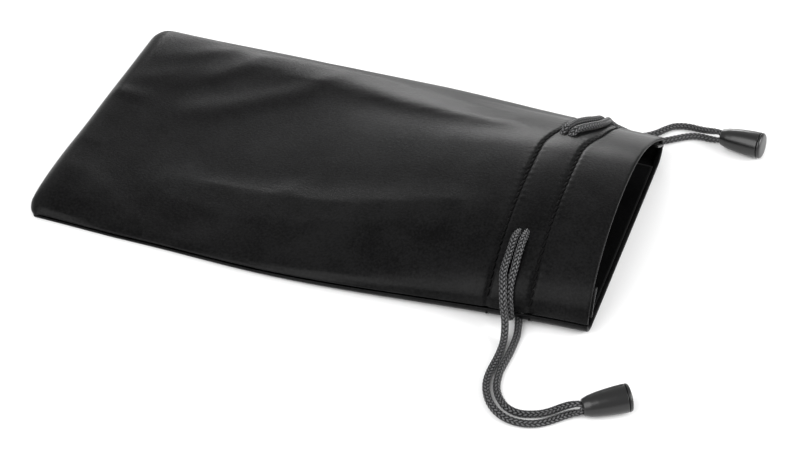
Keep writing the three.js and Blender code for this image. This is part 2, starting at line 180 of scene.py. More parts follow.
def corner_shift(s, side):
    """How far the closed end's corners are rounded off. side is the distance from the side seam."""
    return (
        CORNER_RADIUS
        * np.clip(1 - np.asarray(side) / (2 * CORNER_RADIUS), 0, None) ** 2
        * np.clip(1 - np.asarray(s) / 10, 0, None) ** 2
    )


def pressed(s, t):
    """How far the drawcords, pulled over the far side, press the cloth."""
    s = np.asarray(s, float)[:, None]
    t = np.asarray(t, float)[None, :]
    share = ramp(s, 92, 128) * ramp(t, 0.6, 0.88) * (1 - ramp(t, 0.91, 1))
    return share[:, :, None] * np.array([0, -PRESS_IN, -PRESS_DOWN])


RAW = middle_surface()
HALF_LENGTH = RAW[-1, :, 0].max() / 2
RAW += pressed(COARSE_S, COARSE_T)


def cubic(places, count):
    """The matrix that reads a smooth curve through count even values at the given places."""
    places = np.asarray(places, float)
    i = np.clip(np.floor(places).astype(int), 0, count - 2)
    f = places - i
    weights = [
        -0.5 * f**3 + f**2 - 0.5 * f,
        1.5 * f**3 - 2.5 * f**2 + 1,
        -1.5 * f**3 + 2 * f**2 + 0.5 * f,
        0.5 * f**3 - 0.5 * f**2,
    ]
    matrix = np.zeros((len(places), count))
    rows = np.arange(len(places))
    for k, w in enumerate(weights):
        j = i + k - 1
        inside = (j >= 0) & (j < count)
        np.add.at(matrix, (rows[inside], j[inside]), w[inside])
        for end, step in ((0, 1), (count - 1, -1)):  # a point past the end mirrors the one before it
            out = (j < 0) if end == 0 else (j >= count)
            np.add.at(matrix, (rows[out], np.full(out.sum(), end)), 2 * w[out])
            np.add.at(matrix, (rows[out], np.full(out.sum(), end + step)), -w[out])
    return matrix


def spread(values, s, t):
    """A field given on the coarse grid, read at every s and t."""
    a = cubic(np.asarray(s) / GRID_STEP, values.shape[0])
    b = cubic(np.asarray(t) * (GRID_COLUMNS - 1), GRID_COLUMNS)
    return np.einsum("ik,klc,jl->ijc", a, values, b)


def rolled(grid, s, t, edge=0.3, seam=END_SEAM):
    """Rounds the closed end and its corners, and puts the origin in the middle of the base."""
    out = grid.copy()
    s = np.asarray(s, float)[:, None]
    side = PANEL_WIDTH * np.minimum(t, 1 - np.asarray(t))[None, :]
    arc = np.sqrt(np.clip(1 - (1 - s / END_ROLL) ** 2, 0, 1))
    roll = np.where(s < END_ROLL, edge + (1 - edge) * arc, 1)
    out[:, :, 0] += corner_shift(s, side) - HALF_LENGTH
    out[:, :, 2] = seam + (out[:, :, 2] - seam) * roll
    return out


SURFACE = rolled(RAW, COARSE_S, COARSE_T)


def on_cloth(s, t, lift=0.0):
    """A point of the upper panel as the CAD model places it, lifted off its middle surface."""
    i = min(int(s // GRID_STEP), len(SURFACE) - 2)
    j = min(int(t * (GRID_COLUMNS - 1)), GRID_COLUMNS - 2)
    u, v = s / GRID_STEP - i, t * (GRID_COLUMNS - 1) - j
    a, b, c, d = SURFACE[i, j], SURFACE[i + 1, j], SURFACE[i, j + 1], SURFACE[i + 1, j + 1]
    point = (a + (b - a) * u) * (1 - v) + (c + (d - c) * u) * v
    forward = (b - a) * (1 - v) + (d - c) * v
    sideways = (c - a) * (1 - u) + (d - b) * u
    normal = np.cross(forward, sideways)
    return point + lift * normal / np.linalg.norm(normal)


def unit(v):
    return v / np.linalg.norm(v, axis=-1, keepdims=True).clip(1e-9)


def grid_normals(grid):
    return unit(np.cross(np.gradient(grid, axis=0), np.gradient(grid, axis=1)))


# Camera


def add_camera():
    data = bpy.data.cameras.new("camera")
    data.lens = 99.0
    data.sensor_width = 36.0
    camera = bpy.data.objects.new("camera", data)
    bpy.context.scene.collection.objects.link(camera)
    target = Vector((0.0201, -0.0153, 0.0))
    azimuth, elevation, distance = math.radians(19.4), math.radians(41.6), 0.63
    back = Vector(
        (
            math.sin(azimuth) * math.cos(elevation),
            -math.cos(azimuth) * math.cos(elevation),
            math.sin(elevation),
        )
    )
    camera.location = target + back * distance
    camera.rotation_mode = "QUATERNION"
    camera.rotation_quaternion = (-back).to_track_quat("-Z", "Y")
    data.clip_start, data.clip_end = 0.01, 20.0
    bpy.context.scene.camera = camera


add_camera()


# Meshes


def add_mesh(name, points, quads, triangles=(), uvs=None, material=None):
    """points in millimetres; uvs one (u, v) a vertex, in millimetres too."""
    mesh = bpy.data.meshes.new(name)
    sizes = np.concatenate([np.full(len(quads), 4), np.full(len(triangles), 3)]).astype(np.int32)
    corners = np.concatenate([np.ravel(quads), np.ravel(triangles)]).astype(np.int32)
    mesh.vertices.add(len(points))
    mesh.vertices.foreach_set("co", (np.asarray(points) * MM).astype(np.float32).ravel())
    mesh.loops.add(len(corners))
    mesh.loops.foreach_set("vertex_index", corners)
    mesh.polygons.add(len(sizes))
    starts = np.concatenate([[0], np.cumsum(sizes)[:-1]]).astype(np.int32)
    mesh.polygons.foreach_set("loop_start", starts)
    mesh.polygons.foreach_set("use_smooth", np.ones(len(sizes), bool))
    if uvs is not None:
        layer = mesh.uv_layers.new(name="along")
        layer.data.foreach_set("uv", (np.asarray(uvs)[corners] * MM).astype(np.float32).ravel())
    mesh.update(calc_edges=True)
    mesh.validate()
    piece = bpy.data.objects.new(name, mesh)
    bpy.context.scene.collection.objects.link(piece)
    if material is not None:
        mesh.materials.append(material)
    return piece


def strip_faces(rows, columns, offset=0, flip=False, close=False):
    """Quads of a grid of rows by columns. close joins the last column to the first."""
    across = columns if close else columns - 1
    i, j = np.meshgrid(np.arange(rows - 1), np.arange(across), indexing="ij")
    k = (j + 1) % columns
    this, following = i * columns, (i + 1) * columns
    quads = np.stack([this + j, following + j, following + k, this + k], -1)
    quads = quads.reshape(-1, 4) + offset
    return quads[:, ::-1] if flip else quads


def add_sheet(name, outer, inner, uv, material):
    """One closed body between two grids of points. outer is on the left of the rows' way round."""
    m, n = outer.shape[:2]
    points = np.concatenate([outer.reshape(-1, 3), inner.reshape(-1, 3)])
    i, j = np.arange(m - 1), np.arange(n - 1)

    def rim(a, b, c, d):
        return np.stack(np.broadcast_arrays(a, b, c, d), -1)

    last = (m - 1) * n
    below = m * n
    faces = [
        strip_faces(m, n),
        strip_faces(m, n, below, flip=True),
        rim(i * n, below + i * n, below + (i + 1) * n, (i + 1) * n),
        rim(i * n + n - 1, (i + 1) * n + n - 1, below + (i + 1) * n + n - 1, below + i * n + n - 1),
        rim(j, j + 1, below + j + 1, below + j),
        rim(last + j, below + last + j, below + last + j + 1, last + j + 1),
    ]
    uvs = np.concatenate([uv.reshape(-1, 2)] * 2)
    return add_mesh(name, points, np.concatenate(faces), (), uvs, material)


def frames(path):
    """Normal and side at each point of a path, turned as little as the path allows."""
    tangent = unit(np.gradient(path, axis=0))
    normal = np.zeros_like(path)
    n = np.array([0.0, 0.0, 1.0])
    for i, t in enumerate(tangent):
        n = n - t * (n @ t)
        n = n / np.linalg.norm(n)
        normal[i] = n
    return normal, np.cross(tangent, normal)


def tube(path, normal, side, wide, thick, sides):
    """Points and quads of an oval tube round a path, with a last point for each end's cap, and the
    number of points before those two. wide and thick may change along the path."""
    angle = np.linspace(0, 2 * math.pi, sides, endpoint=False)
    wide = np.broadcast_to(wide, len(path))[:, None, None]
    thick = np.broadcast_to(thick, len(path))[:, None, None]
    ring = (
        path[:, None]
        + side[:, None] * wide * np.cos(angle)[None, :, None]
        + normal[:, None] * thick * np.sin(angle)[None, :, None]
    )
    count = len(path) * sides
    points = np.concatenate([ring.reshape(-1, 3), path[:1], path[-1:]])
    faces = strip_faces(len(path), sides, close=True)
    return points, faces, count


def cap_faces(count, sides):
    """The two fans of triangles that close a tube's ends."""
    k = np.arange(sides)
    start = np.stack([np.full(sides, count), k, (k + 1) % sides], -1)
    last = count - sides
    end = np.stack([np.full(sides, count + 1), last + (k + 1) % sides, last + k], -1)
    return np.concatenate([start, end])


class Bundle:
    """Collects tubes into one mesh."""

    def __init__(self):
        self.points, self.quads, self.triangles, self.uvs, self.total = [], [], [], [], 0

    def add(self, path, normal, side, wide, thick, sides, start=0.0, painted_light=0.5):
        """painted_light is one value, or one for every point of the path, from 0, painted shade, to 1,
        painted highlight. It is less on the side that faces inward, as painted shade."""
        points, quads, count = tube(path, normal, side, wide, thick, sides)
        self.points.append(points)
        self.quads.append(quads + self.total)
        self.triangles.append(cap_faces(count, sides) + self.total)
        length = along(path) + start
        u = np.repeat(length, sides)
        # painted shade on the side of each tube that faces inward, painted highlight on the side that
        # faces out
        outward = 0.15 + 0.85 * ramp(np.sin(np.arange(sides) * 2 * math.pi / sides), 0, 0.8)
        v = (np.broadcast_to(painted_light, len(path))[:, None] * outward).ravel()
        uv = np.stack([u, v], -1)
        self.uvs.append(np.concatenate([uv, uv[[0, -1]]]))
        self.total += len(points)

    def make(self, name, material):
        return add_mesh(
            name,
            np.concatenate(self.points),
            np.concatenate(self.quads),
            np.concatenate(self.triangles),
            np.concatenate(self.uvs),
            material,
        )


# Materials


def new_material(name, colour, roughness, specular=0.5, sheen=0.0):
    material = bpy.data.materials.new(name)
    material.use_nodes = True
    shader = material.node_tree.nodes["Principled BSDF"]
    shader.inputs["Base Color"].default_value = (*colour, 1)
    shader.inputs["Roughness"].default_value = roughness
    shader.inputs["Specular IOR Level"].default_value = specular
    shader.inputs["Sheen Weight"].default_value = sheen
    shader.inputs["Sheen Roughness"].default_value = 0.4
    return material, material.node_tree.nodes, material.node_tree.links, shader


def node(nodes, kind, **values):
    made = nodes.new(kind)
    for key, value in values.items():
        if key in made.inputs:
            made.inputs[key].default_value = value
        else:
            setattr(made, key, value)
    return made


def noise_node(nodes, links, **values):
    place = node(nodes, "ShaderNodeTexCoord")
    noise = node(nodes, "ShaderNodeTexNoise", **values)
    links.new(place.outputs["Object"], noise.inputs["Vector"])
    return noise.outputs["Fac"]


def math_node(nodes, links, operation, *values):
    """Each value is a number or another node's output."""
    made = node(nodes, "ShaderNodeMath", operation=operation)
    for value, socket in zip(values, made.inputs):
        if isinstance(value, (int, float)):
            socket.default_value = value
        else:
            links.new(value, socket)
    return made.outputs[0]


def range_node(nodes, links, value, **limits):
    made = node(nodes, "ShaderNodeMapRange")
    for key, limit in limits.items():
        made.inputs[key.replace("_", " ").title()].default_value = limit
    links.new(value, made.inputs["Value"])
    return made.outputs["Result"]


def link_colour(nodes, links, shader, value, *stops):
    """Colours the shader by a value, between two stops of (value, colour)."""
    made = node(nodes, "ShaderNodeValToRGB")
    for element, (position, colour) in zip(made.color_ramp.elements, stops):
        element.position = position
        element.color = (*colour, 1)
    links.new(value, made.inputs["Fac"])
    links.new(made.outputs["Color"], shader.inputs["Base Color"])


def link_bump(nodes, links, shader, height, strength, distance):
    made = node(nodes, "ShaderNodeBump", Strength=strength, Distance=distance)
    links.new(height, made.inputs["Height"])
    links.new(made.outputs["Normal"], shader.inputs["Normal"])


def cloth_material(name, dark, light, sheen):
    material, nodes, links, shader = new_material(name, dark, 0.31, 0.07, sheen)
    nap = noise_node(nodes, links, Scale=1500.0, Detail=5.0, Roughness=0.65)
    cloudy = noise_node(nodes, links, Scale=90.0, Detail=3.0, Roughness=0.5)
    fine = math_node(nodes, links, "MULTIPLY", nap, 0.65)
    mix = math_node(nodes, links, "MULTIPLY_ADD", cloudy, 0.35, fine)
    link_colour(nodes, links, shader, mix, (0.4, dark), (0.6, light))
    link_bump(nodes, links, shader, nap, 0.5, 0.00012)
    return material


def yarn_material(name, dark, light, roughness, specular):
    """Filament yarn. A yarn's uv carries painted light: a painted highlight on the crowns that face out
    of a braid, and painted shade where the yarn dives under another."""
    material, nodes, links, shader = new_material(name, dark, roughness, specular)
    place = node(nodes, "ShaderNodeTexCoord")
    parts = node(nodes, "ShaderNodeSeparateXYZ")
    links.new(place.outputs["UV"], parts.inputs[0])
    painted_light = math_node(nodes, links, "MULTIPLY", parts.outputs["Y"], 1 / MM)
    noise = noise_node(nodes, links, Scale=2600.0, Detail=4.0)
    uneven = range_node(nodes, links, noise, from_min=0.35, from_max=0.65, to_min=0.75, to_max=1.15)
    both = math_node(nodes, links, "MULTIPLY", painted_light, uneven)
    link_colour(nodes, links, shader, both, (0.2, dark), (0.95, light))
    link_bump(nodes, links, shader, noise, 0.3, 0.00005)
    return material


def plastic_material():
    material, nodes, links, shader = new_material("satin_plastic", grey(0.004, 0.0042), 0.28)
    grain = noise_node(nodes, links, Scale=2200.0, Detail=3.0)
    link_bump(nodes, links, shader, grain, 0.12, 0.00004)
    rough = range_node(nodes, links, grain, to_min=0.25, to_max=0.34)
    links.new(rough, shader.inputs["Roughness"])
    return material


def grey(value, blue=None):
    """A grey, with its blue a little stronger if asked."""
    return value, value, value if blue is None else blue


CLOTH = cloth_material("microfibre", grey(0.0012, 0.0013), grey(0.0066, 0.0068), 0.0)
LINING = cloth_material("microfibre_inside", grey(0.0014, 0.0015), grey(0.003, 0.0032), 0.02)
# the cut edge's light grey is a painted highlight: the bright line along the edge of the allowance that
# peeks out of the mouth
CUT_EDGE_HIGHLIGHT = cloth_material("cut_edge_painted_highlight", grey(0.03, 0.031), grey(0.09, 0.092), 0.1)
# the thread's two near-black tones carry a faint painted shade on each stitch's inward side
THREAD = yarn_material("sewing_thread", grey(0.0005), grey(0.001), 0.7, 0.1)
# the braid's dark and light ends are painted shade and painted highlight, set by each yarn's uv
BRAID = yarn_material("braided_cord", grey(0.0008, 0.0009), grey(0.1, 0.103), 0.36, 0.3)
PLASTIC = plastic_material()


# Cords


def smooth_path(points):
    """A centripetal curve through the points, cut into short even steps."""
    p = np.asarray(points, float)
    p = np.concatenate([[2 * p[0] - p[1]], p, [2 * p[-1] - p[-2]]])
    out = []
    k = np.linspace(0, 1, 24, endpoint=False)[:, None]
    for i in range(1, len(p) - 2):
        a, b, c, d = p[i - 1 : i + 3]
        ta, tb, tc = (np.linalg.norm(q) ** 0.5 for q in (b - a, c - b, d - c))
        m1 = ((b - a) / ta - (c - a) / (ta + tb) + (c - b) / tb) * tb
        m2 = ((c - b) / tb - (d - b) / (tb + tc) + (d - c) / tc) * tb
        square = (-3 * b + 3 * c - 2 * m1 - m2) * k**2
        out.append(b + m1 * k + square + (2 * b - 2 * c + m1 + m2) * k**3)
    out.append(p[-2][None])
    line = np.concatenate(out)
    distance = along(line)
    count = int(round(distance[-1] / 0.25))
    even = np.linspace(0, distance[-1], count + 1)
    return np.stack([np.interp(even, distance, line[:, axis]) for axis in range(3)], -1)


NEAR_ROUTE = [
    (89, -69.3, 1.75), (87.2, -69.9, 1.25), (85.4, -71.3, 1.15), (83.3, -73.4, 1.15),
    (81.2, -75.3, 1.15), (78.9, -76.7, 1.15), (76, -77.6, 1.15), (73.1, -77.7, 1.15),
    (70.4, -77.1, 1.15), (67.9, -75.7, 1.15), (65.7, -73.6, 1.15), (64, -71, 1.15),
    (62.8, -68.1, 1.15), (62.2, -65, 1.15), (62.1, -61.8, 1.15), (62.3, -58.2, 1.15),
    (62.4, -54.4, 1.2), (62.2, -50.9, 1.5), (61.8, -48.6, 2.7), (61.2, -46.6, 4.8), (60.6, -45.5, 6.8),
    (60.2, -45.1, 8.6), (59.8, -44.5, 10.4), (59.1, -42.6, 12.7),
    *[on_cloth(s, t, lift) for s, t, lift in (
        (140.9, 0.097, 2.7), (140.9, 0.126, 2.4), (141.1, 0.151, 2.2), (141.2, 0.181, 2.1),
        (141.2, 0.212, 1.7), (141.3, 0.245, 0),
        *[(141.4, t, -CORD_LIFT) for t in (0.285, 0.34, 0.41, 0.48, 0.55, 0.61)],
        (141.2, 0.66, -CORD_LIFT), (140.9, 0.715, 0), (141.3, 0.738, 1.6),
        (141.6, 0.764, 1.8), (142, 0.798, 1.8), (142.9, 0.833, 1.8), (144, 0.871, 1.8),
        (144.8, 0.905, 1.75), (145.3, 0.935, 1.75), (145.8, 0.965, 1.8))],
    (64, 43.9, 6), (63.9, 45.1, 4.6), (63.8, 45.2, 3.3), (63.1, 43.2, 2.4),
    *[(62.7, y, 2.3) for y in (38, 25, 12, 0, -12, -25, -36)],
    (63.3, -40.2, 2), (64.1, -43.4, 1.5), (64.8, -46.8, 1.15), (65, -50.1, 1.15),
    (65, -53.9, 1.15), (64.8, -57.7, 1.15), (64.6, -61, 1.15), (64.8, -63.9, 1.15),
    (65.3, -66.7, 1.15), (66.3, -69.2, 1.15), (67.9, -71.5, 1.15), (69.8, -73.3, 1.15),
    (72.2, -74.3, 1.15), (74.6, -74.4, 1.15), (77.1, -73.7, 1.15), (79.5, -72.6, 1.15),
    (81.7, -71, 1.3), (83.8, -69.8, 2.1), (86.2, -69.1, 3.3), (88.6, -68.7, 4),
]

FAR_ROUTE = [
    (97.3, 53, 4.1), (95, 54, 3.2), (92.5, 55, 2.1), (90.2, 55.8, 1.4), (87.9, 56.2, 1.15),
    (85.3, 55.8, 1.15), (83, 54.8, 1.15), (80.9, 52.6, 1.15), (79.2, 50.4, 1.15), (77.4, 48.6, 1.15),
    (75.4, 47.3, 1.15), (73.1, 46.6, 1.35), (71, 46.2, 2.1), (69.3, 45.4, 3.3), (67.6, 44.4, 4.7),
    (66.5, 43.4, 6.3),
    *[on_cloth(s, t, lift) for s, t, lift in (
        (148.3, 0.965, 1.8), (148.7, 0.93, 1.75), (148.9, 0.895, 1.75), (148.8, 0.862, 1.75),
        (148.3, 0.835, 1.75), (147.4, 0.81, 1.8), (146.4, 0.783, 1.85), (145.3, 0.756, 1.85),
        (144.3, 0.73, 1.6), (143.4, 0.708, 0), (143.7, 0.65, -CORD_LIFT),
        *[(143.8, t, -CORD_LIFT) for t in (0.61, 0.55, 0.48, 0.41, 0.34, 0.285)],
        (143.6, 0.245, 0), (143.6, 0.207, 1.7),
        (143.6, 0.175, 2.1), (143.5, 0.146, 2.1), (143.5, 0.118, 2.1), (143.3, 0.092, 2),
        (143.3, 0.062, 1.9), (143.6, 0.035, 1.9))],
    (61.3, -43.1, 7.5), (61.6, -43.4, 5.5), (61.7, -43.2, 3.7), (61, -41.6, 2.6),
    *[(60.2, y, 2.3) for y in (-37, -25, -12, 0, 12, 25, 38)],
    (60.4, 43, 2.1), (61.4, 46, 1.6), (63.3, 48, 1.15), (65.6, 47.6, 1.15),
    (67.4, 45.6, 1.15), (69.1, 44, 1.15), (71.3, 43.3, 1.15), (73.9, 43.3, 1.15), (76.3, 44.1, 1.15),
    (78.6, 45.2, 1.15), (80.8, 46.6, 1.15), (83, 48, 1.15), (85, 49.5, 1.15), (87.1, 51, 1.15),
    (89.3, 52.2, 1.15), (91.8, 52.7, 1.15), (94.5, 52.5, 1.25), (97.4, 52.2, 1.85),
]


def hidden_part(path):
    """Where a cord runs inside a channel, low or high, and needs only a coarse braid."""
    low = (path[:, 2] > 2.25) & (path[:, 2] < 2.35) & (abs(path[:, 1]) < 34)
    high = (path[:, 2] > 10) & (path[:, 1] > -19) & (path[:, 1] < 14.5)
    return low | high


def braid(bundle, path, normal, side, squeeze, start, end, step, sides):
    """Yarns along the path from start to end, with a ring of points at every step of it. Each rises
    over two of the others, then dips under two."""
    part = slice(max(start - step, 0), min(end + step, len(path)), step)
    length = along(path)[part]
    turn = 2 * math.pi / BRAID_LAY
    crossing = length * turn * CARRIERS / math.pi
    for way in (1, -1):
        for i in range(CARRIERS):
            angle = 2 * math.pi * i / CARRIERS + way * turn * length
            phase = crossing + 2 * i if way == 1 else 2 * i - crossing
            high = way * np.cos(math.pi / 2 * (phase - 0.5))  # 1 over the others, -1 under them
            c, n = np.cos(angle)[:, None], np.sin(angle)[:, None]
            wide, thick = (
                squeeze[part, None] * (radius + YARN_RISE * high[:, None]) for radius in BRAID_RADII
            )
            line = path[part] + side[part] * c * wide + normal[part] * n * thick
            out = unit(side[part] * c / wide + normal[part] * n / thick)
            tangent = unit(np.gradient(line, axis=0))
            across = unit(np.cross(out, tangent))
            # painted highlight where a yarn rises over the others, painted shade where it dips under them
            facing, painted_light = np.cross(tangent, across), ramp(high, 0, 1)
            bundle.add(line, facing, across, YARN_WIDE, YARN_THICK, sides, 3.7 * i, painted_light)


def into_neck(route, neck, axis):
    """Carries both ends of a cord up inside its cord end, side by side."""
    across = unit(np.cross(axis, (0, 0, 1)))
    up = np.cross(across, axis)
    ends = []
    for point in (np.asarray(route[0], float), np.asarray(route[-1], float)):
        off = point - neck
        place = unit(np.array([off @ across, off @ up])) * 0.55
        line = neck + across * place[0] + up * place[1]
        ends.append([line + axis * depth for depth in (0.4, 1.6, 3)])
    return [*ends[0][::-1], *route, *ends[1]]


def drawcord(name, route, neck, axis):
    """A braid round a plain core. It is squeezed where it goes into its cord end's neck."""
    path = smooth_path(into_neck(route, neck, axis))
    normal, side = frames(path)
    bundle = Bundle()
    length = along(path)
    from_end = np.minimum(length, length[-1] - length)
    squeeze = 0.78 + 0.22 * ramp(from_end, 3, 7.5)
    inner = squeeze[::2, None]
    core_wide, core_thick = 0.74, 0.66
    # the core takes the darkest end of the braid's colour: painted shade in the gaps between the yarns
    bundle.add(
        path[::2], normal[::2] * inner, side[::2] * inner, core_wide, core_thick, 10, painted_light=0.0
    )
    hidden = hidden_part(path)
    edges = np.flatnonzero(np.diff(hidden.astype(int))) + 1
    runs = [0, *edges, len(path)]
    for start, end in zip(runs, runs[1:]):
        step, sides = (3, 4) if hidden[start] else (1, 6)
        braid(bundle, path, normal, side, squeeze, start, end, step, sides)
    return bundle.make(name, BRAID), path


BELL_OUTSIDE = [(2.1, 0), (2.4, 0.35), (2.9, 1.9), (3.3, 4), (3.6, 6.5), (3.8, 9), (3.88, 11.9)]


def neck_and_axis(x, y, heading):
    """Where a cord end's neck is and which way its axis points, as it lies on its side."""
    level, rise = math.cos(BELL_TILT), math.sin(BELL_TILT)
    turn = math.radians(heading)
    axis = np.array([level * math.cos(turn), level * math.sin(turn), rise])
    lift = max(r * level - a * rise for r, a in BELL_OUTSIDE)
    return np.array([x, y, lift]), axis


NEAR_END = neck_and_axis(89.25, -68.86, 31.5)
FAR_END = neck_and_axis(97.87, 52.54, -7.7)
near_cord, near_path = drawcord("near_drawcord_braid", NEAR_ROUTE, *NEAR_END)
far_cord, far_path = drawcord("far_drawcord_braid", FAR_ROUTE, *FAR_END)


# Cord ends


def lathe(name, profile, centre, axis, material, sides=96):
    """A closed turned piece. The profile is (radius, distance along the axis) and starts and ends on
    the axis, or closes on itself."""
    profile = np.asarray(profile, float)
    axis = np.asarray(axis, float)
    across = unit(np.cross(axis, (0, 0, 1)))
    up = np.cross(across, axis)
    angle = np.linspace(0, 2 * math.pi, sides, endpoint=False)
    ring = across[None] * np.cos(angle)[:, None] + up[None] * np.sin(angle)[:, None]
    on_axis = profile[0, 0] == 0
    body = profile[1:-1] if on_axis else profile
    points = centre + body[:, 1, None, None] * axis + body[:, 0, None, None] * ring[None]
    rows = len(body)
    points = points.reshape(-1, 3)
    quads = strip_faces(rows, sides, close=True)
    k = np.arange(sides)
    turned = (k + 1) % sides
    last = (rows - 1) * sides
    if not on_axis:
        joined = np.stack([last + k, k, turned, last + turned], -1)
        return add_mesh(name, points, np.concatenate([quads, joined]), (), None, material)
    tip = np.full(sides, len(points))
    start = np.stack([tip, k, turned], -1)
    end = np.stack([tip + 1, last + turned, last + k], -1)
    points = np.concatenate([points, centre + profile[[0, -1], 1, None] * axis])
    triangles = np.concatenate([start, end])
    return add_mesh(name, points, quads, triangles, None, material)


def rounded(corners, radius, steps=4):
    """A profile with every corner but its two ends rounded off."""
    corners = [np.asarray(c, float) for c in corners]
    out = [corners[0]]
    for a, b, c in zip(corners, corners[1:], corners[2:]):
        r = min(radius, np.linalg.norm(a - b) * 0.45, np.linalg.norm(c - b) * 0.45)
        p, q = b + unit(a - b) * r, b + unit(c - b) * r
        for k in np.linspace(0, 1, steps + 1):
            out.append(p * (1 - k) ** 2 + 2 * b * k * (1 - k) + q * k**2)
    out.append(corners[-1])
    return out


BELL_PROFILE = [
    (1.6, 2), (1.6, 0.15), (2.0, 0), (2.35, 0.3), (2.9, 1.9), (3.3, 4), (3.6, 6.5), (3.8, 9),
    (3.88, 11.2), (3.88, 11.85), (3.7, 11.9), (3.1, 11.9), (3.1, 6.2), (2.5, 4.9), (1.6, 4.2),
    (1.6, 2),
]
CAP_PROFILE = [
    (0, 10.7), (2.8, 10.7), (2.85, 12.0), (3.75, 12.06), (3.88, 12.2), (3.84, 12.6), (3.5, 13.0),
    (2.6, 13.15), (1.4, 13.19), (0, 13.2),
]
KNOT_PROFILE = [
    (0, 3.2), (1.3, 3.2), (1.4, 4.6), (2.3, 6.4), (2.5, 7.5), (2.2, 9), (1.1, 10), (0, 10),
]


def cord_end(side, centre, axis):
    bell = lathe(side + "_bell", rounded(BELL_PROFILE, 0.3)[:-1], centre, axis, PLASTIC)
    cap = lathe(side + "_cap", rounded(CAP_PROFILE, 0.4), centre, axis, PLASTIC)
    knot = lathe(side + "_knot_bundle", rounded(KNOT_PROFILE, 0.5), centre, axis, BRAID, 24)
    return bell, cap, knot


near_bell, near_cap, near_knot = cord_end("near", *NEAR_END)
far_bell, far_cap, far_knot = cord_end("far", *FAR_END)


# Panels


def near_slack(s):
    """How far the near side lies inside the CAD model's."""
    return 0.5 * bump(s, 30, 25) + 0.4 * (1 - ramp(s, 40, 70))


def settled(s, t):
    """How far the handled cloth lies from the CAD model's: the closed end drawn out a little, the near
    side in, and the far shoulder fuller."""
    s = np.asarray(s, float)[:, None]
    t = np.asarray(t, float)[None, :]
    shift = np.zeros((s.shape[0], t.shape[1], 3))
    end = 1 - ramp(s, 0, 40)
    out = 0.5 + 0.5 * bump(t, 0.12, 0.18) + 0.9 * bump(t, 0.3, 0.15) + 0.6 * bump(t, 0.55, 0.2)
    shift[:, :, 0] = -out * end
    shift[:, :, 1] = near_slack(s) * (1 - ramp(t, 0, 0.3))
    shoulder = 0.7 * bump(s, 45, 30) - 0.3 * bump(s, 90, 26)
    shift[:, :, 1] += shoulder * bump(t, 0.9, 0.12) * (1 - ramp(t, 0.9, 1))
    shift[:, :, 2] = bump(t, 0.12, 0.15) * ramp(t, 0, 0.1) * (1 - ramp(s, 5, 40))
    shift[:, :, 2] += shoulder * bump(t, 0.85, 0.12)
    return shift


CREASE_S = [50, 64, 78, 92, 106, 120, 138, 150]
CREASE_ACROSS = [89, 86, 83, 79.3, 75.5, 72.7, 71.8, 71.5]


def folds(s, t):
    """Height of the folds that the cloth keeps: the long crease over what the pouch holds, its soft
    start, and two short folds at the closed end."""
    s = np.asarray(s, float)[:, None]
    across = np.asarray(t, float)[None, :] * PANEL_WIDTH
    crease = np.interp(s, CREASE_S, CREASE_ACROSS)
    height = 0.28 * bump(across, crease - 3, 4) * ramp(s, 56, 80) * (1 - 0.9 * ramp(s, 116, 138))
    soft = np.interp(s, [20, 35, 55, 66], [54, 61, 74, 84])
    height += 0.45 * bump(across, soft, 6) * ramp(s, 14, 34) * (1 - ramp(s, 52, 72))
    for place, reach, size in ((57.5, 20, 0.28), (33.5, 17, 0.1)):
        height += size * bump(across, place, 3) * ramp(s, 0.5, 4) * (1 - ramp(s, 5, reach))
    return height


